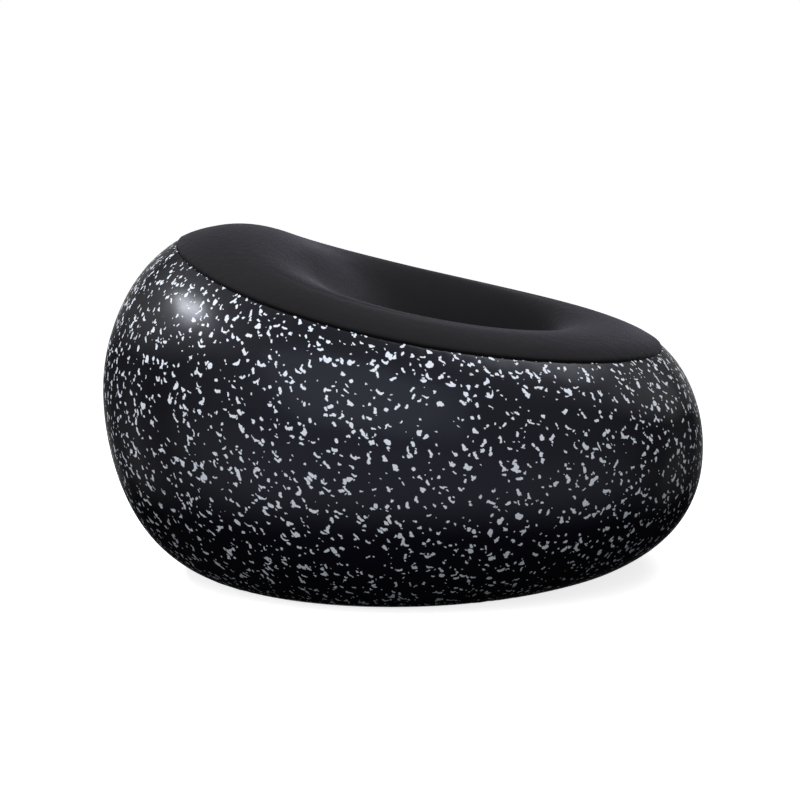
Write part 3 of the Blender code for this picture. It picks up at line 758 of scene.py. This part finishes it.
def make_valve_base(material):
    """The welded flange with its grooved top, and the neck."""
    inset, drop = FLANGE_CHAMFER
    outline = (
        (FLANGE_RADIUS - inset, FLANGE_TOP - drop),
        (FLANGE_RADIUS, FLANGE_FLOOR),
        (NECK_RADIUS, FLANGE_FLOOR),
        (NECK_RADIUS, NECK_END),
        (NECK_BORE_RADIUS, NECK_END),
        (NECK_BORE_RADIUS, NECK_TOP),
        (NECK_RADIUS, NECK_TOP),
        (NECK_RADIUS, FLANGE_TOP),
        *groove([FLANGE_RADIUS - step for step in FLANGE_GROOVE], FLANGE_TOP),
        (FLANGE_RADIUS - FLANGE_EDGE, FLANGE_TOP),
    )
    shape = bmesh.new()
    add_turned(shape, rounded(outline, EDGE_ROUNDING))
    return valve_object("valve_flange_and_neck", shape, material)


def make_valve_seal(material):
    """The rubber ring between the neck and the insert's collar."""
    outline = (
        (SEAL_RADIUS, SEAL_TOP),
        (SEAL_RADIUS, SEAL_FLOOR),
        (NECK_BORE_RADIUS, SEAL_FLOOR),
        (NECK_BORE_RADIUS, SEAL_TOP),
    )
    shape = bmesh.new()
    add_turned(shape, rounded(outline, SEAL_ROUNDING, steps=6))
    return valve_object("seal_ring", shape, material, SEAL_SHARP_DEGREES)


def make_valve_insert(material):
    """The screw-in body with its gripped collar, skirt, inlet tube and lugs."""
    upper, lower = COLLAR_CHAMFER
    outline = (
        (COLLAR_RADIUS - upper, COLLAR_TOP),
        (COLLAR_RADIUS, COLLAR_TOP - upper),
        (COLLAR_RADIUS, COLLAR_FLOOR + lower),
        (COLLAR_RADIUS - lower, COLLAR_FLOOR),
        (SKIRT_RADIUS, COLLAR_FLOOR),
        (SKIRT_RADIUS, SKIRT_END),
        (SKIRT_INNER_RADIUS, SKIRT_END),
        (SKIRT_INNER_RADIUS, COLLAR_FLOOR),
        (TUBE_RADIUS, COLLAR_FLOOR),
        (TUBE_RADIUS, TUBE_END),
        (INLET_RADIUS, TUBE_END),
        (INLET_RADIUS, COLLAR_TOP),
        *groove([CAP_RADIUS + step for step in COLLAR_GROOVE], COLLAR_TOP),
    )
    shape = bmesh.new()
    add_turned(shape, rounded(outline, EDGE_ROUNDING), reshape=gripped)
    add_lugs(shape, CAP_HINGE, COLLAR_TOP - CAP_LUG_SINK, CAP_PIN_RADIUS)
    add_lugs(shape, FLAP_HINGE, COLLAR_FLOOR + FLAP_LUG_SINK, FLAP_PIN_RADIUS)
    return valve_object("screw_insert", shape, material)


def make_thread(material):
    """The thread on the insert's skirt: one low ridge wound on a helix."""
    low, high = SKIRT_END + THREAD_WIDTH, COLLAR_FLOOR - THREAD_WIDTH
    turns = (high - low) / THREAD_PITCH
    count = int(turns * THREAD_STEPS)
    foot = SKIRT_RADIUS - THREAD_SINK
    half = THREAD_WIDTH / 2
    flat = half * THREAD_CREST_SHARE
    shape = bmesh.new()
    rows = []
    for i in range(count + 1):
        angle = tau * turns * i / count
        middle = low + (high - low) * i / count
        taper = min(1.0, i / THREAD_TAPER_STEPS, (count - i) / THREAD_TAPER_STEPS)
        crest = SKIRT_RADIUS + THREAD_HEIGHT * taper
        section = ((foot, -half), (crest, -flat), (crest, flat), (foot, half))
        points = [(r * cos(angle), r * sin(angle), middle + z) for r, z in section]
        rows.append([shape.verts.new(point) for point in points])
    for first, second in zip(rows, rows[1:]):
        for i in range(4):
            j = (i + 1) % 4
            shape.faces.new((first[i], first[j], second[j], second[i]))
    shape.faces.new(rows[0])
    shape.faces.new(rows[-1])
    return valve_object("insert_thread", shape, material)


def make_valve_cap(material):
    """The cap: a low dome with a raised ring and a hollow plug, its pull tab, tongue and pin."""
    outline = (
        *((CAP_RADIUS * across, CAP_TOP + CAP_DOME * up) for across, up in CAP_DOME_SHARES),
        *((CAP_RADIUS - inset, CAP_TOP - drop) for inset, drop in CAP_RIM),
        (CAP_RADIUS, CAP_FLOOR),
        (PLUG_RADIUS, CAP_FLOOR),
        (PLUG_TIP_RADIUS, PLUG_END),
        (PLUG_TIP_RADIUS - PLUG_WALL, PLUG_END),
        (PLUG_RADIUS - PLUG_WALL, CAP_FLOOR),
        (0, CAP_FLOOR),
    )
    shape = bmesh.new()
    add_turned(shape, rounded(outline, EDGE_ROUNDING, closed=False), closed=False)
    half = PULL_TAB_HALF_WIDTH
    sweep = np.linspace(0, -pi, TAB_ARC_POINTS)
    end = [(half * cos(a), -PULL_TAB_END + half + half * sin(a)) for a in sweep]
    root = CAP_RADIUS - TAB_OVERLAP
    add_plate(shape, [(half, -root), *end, (-half, -root)], 2, CAP_FLOOR, TAB_TOP)
    for i in range(RIB_COUNT):
        y = -CAP_RADIUS - RIB_START - i * RIB_STEP
        rib = slab(y, y - RIB_WIDTH, TAB_TOP - RIB_HEIGHT, TAB_TOP + RIB_HEIGHT, FINE_ROUNDING, steps=2)
        add_plate(shape, rib, 0, -half * RIB_SHARE, half * RIB_SHARE)
    middle = (CAP_HINGE.y, CAP_HINGE.z)
    knuckle = circle(middle, CAP_PIN_RADIUS + KNUCKLE_MARGIN)
    add_plate(shape, knuckle, 0, -HINGE_HALF_WIDTH, HINGE_HALF_WIDTH)
    pin_end = LUG_OUTSIDE + PIN_OVERHANG
    add_plate(shape, circle(middle, CAP_PIN_RADIUS), 0, -pin_end, pin_end)
    tongue = slab(root, CAP_HINGE.y, CAP_FLOOR, TAB_TOP, SMALL_ROUNDING, steps=3)
    add_plate(shape, tongue, 0, -HINGE_HALF_WIDTH, HINGE_HALF_WIDTH)
    return valve_object("inlet_cap", shape, material)


def make_check_flap(material):
    """The one-way flap: a disc with a low ring under it, its web and its pin."""
    boss_depths = (0, FLAP_BOSS_HEIGHT, FLAP_BOSS_HEIGHT, 0)
    outline = (
        (0, FLAP_TOP),
        (FLAP_RADIUS, FLAP_TOP),
        (FLAP_RADIUS, FLAP_FLOOR),
        *((FLAP_RADIUS * s, FLAP_FLOOR - depth) for s, depth in zip(FLAP_BOSS_SHARES, boss_depths)),
        (0, FLAP_FLOOR),
    )
    shape = bmesh.new()
    add_turned(shape, rounded(outline, SMALL_ROUNDING, closed=False), closed=False)
    middle = (FLAP_HINGE.y, FLAP_HINGE.z)
    add_plate(shape, circle(middle, FLAP_PIN_RADIUS), 0, -LUG_OUTSIDE, LUG_OUTSIDE)
    root = FLAP_RADIUS - FLAP_WEB_OVERLAP
    web = slab(root, FLAP_HINGE.y, FLAP_FLOOR, FLAP_TOP, FINE_ROUNDING, steps=2)
    add_plate(shape, web, 0, -HINGE_HALF_WIDTH, HINGE_HALF_WIDTH)
    return valve_object("one_way_flap", shape, material)


def add(tree, kind, values=None, **settings):
    """A node with its settings, and its inputs set or linked by name or number."""
    node = tree.nodes.new(kind)
    for key, value in settings.items():
        setattr(node, key, value)
    for key, value in (values or {}).items():
        if isinstance(value, bpy.types.NodeSocket):
            tree.links.new(value, node.inputs[key])
        else:
            node.inputs[key].default_value = value
    return node


def math(tree, operation, *values):
    """One sum on numbers or linked values."""
    return add(tree, "ShaderNodeMath", dict(enumerate(values)), operation=operation).outputs[0]


def vector_math(tree, operation, *values):
    """One sum on vectors: a number for a length, and a vector otherwise."""
    node = add(tree, "ShaderNodeVectorMath", dict(enumerate(values)), operation=operation)
    return node.outputs["Value" if operation in ("LENGTH", "DOT_PRODUCT", "DISTANCE") else "Vector"]


def noise(tree, place, size, detail=2.0, roughness=0.5, **settings):
    """Noise with bumps about as wide as size."""
    values = {"Vector": place, "Scale": 1 / size, "Detail": detail, "Roughness": roughness}
    return add(tree, "ShaderNodeTexNoise", values, **settings)


def scaled(tree, vector, factor):
    """A vector or a colour times a number."""
    return add(tree, "ShaderNodeVectorMath", {0: vector, "Scale": factor}, operation="SCALE").outputs[0]


def part(tree, vector, axis):
    """One coordinate of a vector: 0 is X, 1 is Y and 2 is Z."""
    return add(tree, "ShaderNodeSeparateXYZ", {"Vector": vector}).outputs[axis]


def blend(tree, factor, first, second):
    """A colour between two, each given as (red, green, blue) or linked."""
    values = {"Factor": factor, "A": first, "B": second}
    for key in ("A", "B"):
        if isinstance(values[key], tuple):
            values[key] = (*values[key], 1)
    return add(tree, "ShaderNodeMix", values, data_type="RGBA").outputs["Result"]


def bumped(tree, height, strength, distance, under=None):
    """Fine relief in a material, over another relief if one is given."""
    values = {"Height": height, "Strength": strength, "Distance": distance}
    if under is not None:
        values["Normal"] = under
    return add(tree, "ShaderNodeBump", values).outputs[0]


def object_place(tree):
    """The shaded point in the object's own coordinates."""
    return add(tree, "ShaderNodeTexCoord").outputs["Object"]


def mapped(tree, value, low, high, first, last):
    """A value eased from first to last as it passes from low to high."""
    values = {"Value": value, "From Min": low, "From Max": high, "To Min": first, "To Max": last}
    return add(tree, "ShaderNodeMapRange", values, interpolation_type="SMOOTHSTEP").outputs[0]


def new_material(name, colour, roughness, specular):
    """A material with its own values set on its shader."""
    material = bpy.data.materials.new(name)
    material.use_nodes = True
    tree = material.node_tree
    shader = tree.nodes["Principled BSDF"]
    shader.inputs["Base Color"].default_value = (*colour, 1)
    shader.inputs["Roughness"].default_value = roughness
    shader.inputs["Specular IOR Level"].default_value = specular
    return material, tree, shader


def fleck_layer(tree, place, cell, chance, radius, half_length, bend, shift):
    """Bent rods and dots of print, one at most in each cell of a random pattern: 1 inside them."""
    moved = vector_math(tree, "ADD", place, (shift, shift * FLECK_SHIFT_SHARE, 0))
    cells = add(
        tree, "ShaderNodeTexVoronoi", {"Vector": moved, "Scale": 1 / cell}, voronoi_dimensions="2D"
    )
    middle = cells.outputs["Position"]
    random = add(tree, "ShaderNodeTexWhiteNoise", {"Vector": middle}, noise_dimensions="2D")
    picks = add(tree, "ShaderNodeSeparateColor", {"Color": random.outputs["Color"]})
    local = vector_math(tree, "SUBTRACT", moved, middle)
    angle = math(tree, "MULTIPLY", picks.outputs[0], tau)
    turn = {"Vector": local, "Angle": angle}
    turned = add(tree, "ShaderNodeVectorRotate", turn, rotation_type="Z_AXIS").outputs[0]
    along, across = part(tree, turned, 0), part(tree, turned, 1)
    spread, least = FLECK_LENGTH_SHARES
    reach = math(tree, "MULTIPLY_ADD", picks.outputs[1], half_length * spread, half_length * least)
    spread, least = FLECK_WIDTH_SHARES
    width = math(tree, "MULTIPLY_ADD", picks.outputs[2], radius * spread, radius * least)
    swing = math(tree, "MULTIPLY_ADD", random.outputs["Value"], bend * 2 / chance, -bend)
    curve = math(tree, "MULTIPLY", math(tree, "MULTIPLY", along, along), swing)
    across = math(tree, "ADD", across, curve)
    over = math(tree, "MAXIMUM", math(tree, "SUBTRACT", math(tree, "ABSOLUTE", along), reach), 0)
    squares = math(tree, "ADD", math(tree, "POWER", over, 2), math(tree, "POWER", across, 2))
    distance = math(tree, "SQRT", squares)
    inside = math(tree, "SUBTRACT", width, distance)
    span = {"Value": inside, "From Min": -FLECK_EDGE, "From Max": FLECK_EDGE}
    edge = add(tree, "ShaderNodeMapRange", span).outputs[0]
    alive = math(tree, "LESS_THAN", random.outputs["Value"], chance)
    return math(tree, "MULTIPLY", edge, alive)


def film_gloss(tree, point):
    """The share of gloss: less low down, and less where the film turns away, unless it faces up."""
    facing = add(tree, "ShaderNodeLayerWeight", {"Blend": FACING_BLEND}).outputs["Facing"]
    upward = part(tree, add(tree, "ShaderNodeNewGeometry").outputs["Normal"], 2)
    level = mapped(tree, facing, *GLOSS_BY_FACING)
    raised = mapped(tree, upward, *GLOSS_BY_UPWARD)
    rim = mapped(tree, facing, *GLOSS_AT_RIM)
    edge = math(tree, "MULTIPLY", math(tree, "MAXIMUM", level, raised), rim)
    return math(tree, "MULTIPLY", edge, mapped(tree, part(tree, point, 2), *GLOSS_BY_HEIGHT))


def printed_film():
    """Glossy dark film with a print of pale flecks."""
    material, tree, shader = new_material("printed_film_skin", *FILM_OWN)
    uv = add(tree, "ShaderNodeUVMap", uv_map=PRINT_MAP).outputs[0]
    place = uv
    for size, shift in PRINT_WARPS:
        cloud = noise(tree, uv, size, noise_dimensions="2D").outputs["Color"]
        warp = scaled(tree, vector_math(tree, "SUBTRACT", cloud, NOISE_MIDDLE), shift)
        place = vector_math(tree, "ADD", place, warp)
    flecks = 0.0
    for layer in FLECK_LAYERS:
        flecks = math(tree, "MAXIMUM", flecks, fleck_layer(tree, place, *layer))
    to_seam = math(tree, "ABSOLUTE", part(tree, uv, 1))
    flecks = math(tree, "MULTIPLY", flecks, mapped(tree, to_seam, *PRINT_MARGIN, 0.0, 1.0))
    point = object_place(tree)
    tone = noise(tree, point, FILM_TONE_SIZE, detail=3).outputs["Fac"]
    film = blend(tree, tone, *FILM_COLOURS)
    ink = blend(tree, noise(tree, point, INK_TONE_SIZE).outputs["Fac"], *INK_COLOURS)
    tree.links.new(blend(tree, flecks, film, ink), shader.inputs["Base Color"])
    rough = math(tree, "MULTIPLY_ADD", flecks, INK_EXTRA_ROUGHNESS, FILM_ROUGHNESS)
    tree.links.new(rough, shader.inputs["Roughness"])
    slow = noise(tree, point, FILM_WAVE_SIZE, detail=1).outputs["Fac"]
    tree.links.new(bumped(tree, slow, 1.0, FILM_WAVE_HEIGHT), shader.inputs["Normal"])
    gloss = film_gloss(tree, point)
    tree.links.new(math(tree, "MULTIPLY", gloss, FILM_GLOSS), shader.inputs["Specular IOR Level"])
    tree.links.new(math(tree, "MULTIPLY", gloss, FILM_HAZE), shader.inputs["Coat Weight"])
    shader.inputs["Coat Roughness"].default_value = FILM_HAZE_ROUGHNESS
    shader.inputs["Specular Tint"].default_value = FILM_GLOSS_TINT
    return material


def plain_film():
    """Plain black film, half glossy."""
    spread, least = PLAIN_ROUGHNESS
    material, tree, shader = new_material("plain_film_skin", *PLAIN_OWN)
    grain = noise(tree, object_place(tree), PLAIN_GRAIN, detail=3).outputs["Fac"]
    tree.links.new(bumped(tree, grain, *PLAIN_RELIEF), shader.inputs["Normal"])
    tree.links.new(math(tree, "MULTIPLY_ADD", grain, spread, least), shader.inputs["Roughness"])
    return material


def flock():
    """Charcoal flock: a short dense pile with a soft sheen, and painted shade in the creases at its
    welds.
    """
    material, tree, shader = new_material("flock_skin", *FLOCK_OWN)
    shader.inputs["Sheen Weight"].default_value = SHEEN_WEIGHT
    shader.inputs["Sheen Roughness"].default_value = SHEEN_ROUGHNESS
    shader.inputs["Sheen Tint"].default_value = SHEEN_TINT
    point = object_place(tree)
    slow = noise(tree, point, FLOCK_TONE_SIZE, detail=3).outputs["Fac"]
    pile = noise(tree, point, PILE_SIZE, detail=2).outputs["Fac"]
    slow_tone = math(tree, "MULTIPLY", slow, FLOCK_TONE_SHARE)
    tone = math(tree, "ADD", slow_tone, math(tree, "MULTIPLY", pile, 1 - FLOCK_TONE_SHARE))
    uv = add(tree, "ShaderNodeUVMap", uv_map=PRINT_MAP).outputs[0]
    # Painted shade in the seams' creases: the colour darkens towards each weld
    crease_shade = mapped(tree, part(tree, uv, 1), *CREASE_SHADE_RANGE)
    tree.links.new(scaled(tree, blend(tree, tone, *FLOCK_COLOURS), crease_shade), shader.inputs["Base Color"])
    brushed = noise(tree, point, BRUSHED_SIZE, detail=4, roughness=0.6).outputs["Fac"]
    uneven = bumped(tree, brushed, *BRUSHED_RELIEF)
    tree.links.new(bumped(tree, pile, *PILE_RELIEF, under=uneven), shader.inputs["Normal"])
    return material


def moulded(name, colour, roughness):
    """A satin finish with a fine grain."""
    material, tree, shader = new_material(name, colour, roughness, MOULDED_SPECULAR)
    point = object_place(tree)
    grain = noise(tree, point, MOULDED_GRAIN, detail=2).outputs["Fac"]
    slow = noise(tree, point, MOULDED_TONE_SIZE, detail=2).outputs["Fac"]
    spread, shift = MOULDED_ROUGHNESS
    rough = math(tree, "MULTIPLY_ADD", slow, spread, roughness + shift)
    tree.links.new(rough, shader.inputs["Roughness"])
    tree.links.new(bumped(tree, grain, *MOULDED_RELIEF), shader.inputs["Normal"])
    return material


def paint(node, material):
    """Puts a material on a node of the frame."""
    for slot in frame["nodes"][node].material_slots:
        slot.link = "OBJECT"
        slot.material = material


def seen(tree):
    """1 for the rays that show a background: those of the camera, gloss and glass."""
    path = add(tree, "ShaderNodeLightPath").outputs
    glossy = math(tree, "MAXIMUM", path["Is Glossy Ray"], path["Is Transmission Ray"])
    return math(tree, "MAXIMUM", path["Is Camera Ray"], glossy)


def make_world():
    """White to the rays that show it, and dim to the object."""
    world = bpy.data.worlds.new("studio")
    bpy.context.scene.world = world
    world.use_nodes = True
    tree = world.node_tree
    background = tree.nodes["Background"]
    strength = math(tree, "MULTIPLY_ADD", seen(tree), 1 - AMBIENT, AMBIENT)
    tree.links.new(strength, background.inputs["Strength"])
    background.inputs["Color"].default_value = WHITE


def make_floor():
    """A pale floor that keeps the chair's shadow and throws little light up at it."""
    mesh = bpy.data.meshes.new("floor")
    shape = bmesh.new()
    bmesh.ops.create_grid(shape, x_segments=1, y_segments=1, size=FLOOR_SIZE / 2)
    shape.to_mesh(mesh)
    shape.free()
    floor = bpy.data.objects.new("floor", mesh)
    floor.location.z = -FLOOR_DROP
    bpy.context.scene.collection.objects.link(floor)
    material, tree, shader = new_material("floor", FLOOR_PALE, 1.0, 0.0)
    reach = vector_math(tree, "LENGTH", object_place(tree))
    glow = add(tree, "ShaderNodeEmission", {"Strength": mapped(tree, reach, *FLOOR_GLOW)})
    pale = add(tree, "ShaderNodeBsdfDiffuse", {"Color": (*FLOOR_PALE, 1)})
    dull = add(tree, "ShaderNodeBsdfDiffuse", {"Color": (*FLOOR_DULL, 1)})
    both = add(tree, "ShaderNodeAddShader", {0: glow.outputs[0], 1: pale.outputs[0]})
    mix = add(tree, "ShaderNodeMixShader", {0: seen(tree), 1: dull.outputs[0], 2: both.outputs[0]})
    output = next(node for node in tree.nodes if node.type == "OUTPUT_MATERIAL")
    tree.links.new(mix.outputs[0], output.inputs["Surface"])
    tree.nodes.remove(shader)
    mesh.materials.append(material)


def make_lamps():
    """Area lamps, each turned towards its place."""
    for name, target, direction, distance, width, height, power in LAMPS:
        data = bpy.data.lights.new(name, "AREA")
        data.shape = "RECTANGLE"
        data.size = width
        data.size_y = height
        data.energy = power
        lamp = bpy.data.objects.new(name, data)
        lamp.visible_camera = False
        direction = Vector(direction).normalized()
        lamp.location = Vector(target) + direction * distance
        lamp.rotation_mode = "QUATERNION"
        lamp.rotation_quaternion = direction.to_track_quat("Z", "Y")
        bpy.context.scene.collection.objects.link(lamp)


def make_camera():
    """The camera that sees the chair as the photo does."""
    data = bpy.data.cameras.new("camera")
    data.sensor_width = CAMERA_SENSOR
    data.lens = CAMERA_LENS
    data.shift_x, data.shift_y = CAMERA_SHIFT
    camera = bpy.data.objects.new("camera", data)
    flat = cos(CAMERA_ELEVATION)
    back = Vector((sin(CAMERA_AZIMUTH) * flat, -cos(CAMERA_AZIMUTH) * flat, sin(CAMERA_ELEVATION)))
    camera.location = CAMERA_TARGET + back * CAMERA_DISTANCE
    camera.rotation_mode = "QUATERNION"
    camera.rotation_quaternion = (-back).to_track_quat("-Z", "Y")
    bpy.context.scene.collection.objects.link(camera)
    bpy.context.scene.camera = camera


def dress():
    """Every skin and finish, each riding on its body."""
    film, flocked, plain = printed_film(), flock(), plain_film()
    skins = (
        (make_side_panel(film), "side_panel", "printed_film"),
        (make_top_panel(flocked), "top_panel", "flock"),
        (make_seat_floor(flocked), "seat_floor", "flock"),
        (make_base_panel(plain), "base_panel", "plain_film"),
    )
    for skin, node, slot in skins:
        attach(skin, "air_body")
        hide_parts(node)
    strap = moulded(*STRAP_FINISH)
    paint("side_joint_tape", plain)
    for number in range(1, STRAP_COUNT + 1):
        paint(f"tie_strap_{number}", strap)
    hard, soft, rubber = moulded(*HARD_FINISH), moulded(*SOFT_FINISH), moulded(*RUBBER_FINISH)
    pieces = (
        (make_valve_base(hard), "air_body", "valve_base", "valve_pvc"),
        (make_valve_seal(rubber), "seal", "valve_seal", "seal_rubber"),
        (make_valve_insert(hard), "insert", "valve_insert", "valve_pvc"),
        (make_thread(hard), "insert", None, "valve_pvc"),
        (make_valve_cap(soft), "cap", "valve_cap", "soft_pvc"),
        (make_check_flap(soft), "flap", "check_flap", "soft_pvc"),
    )
    for piece, body, node, slot in pieces:
        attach(piece, body)
        if node:
            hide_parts(node)


dress()
make_world()
make_floor()
make_lamps()
make_camera()
bpy.context.scene.view_settings.view_transform = "Standard"
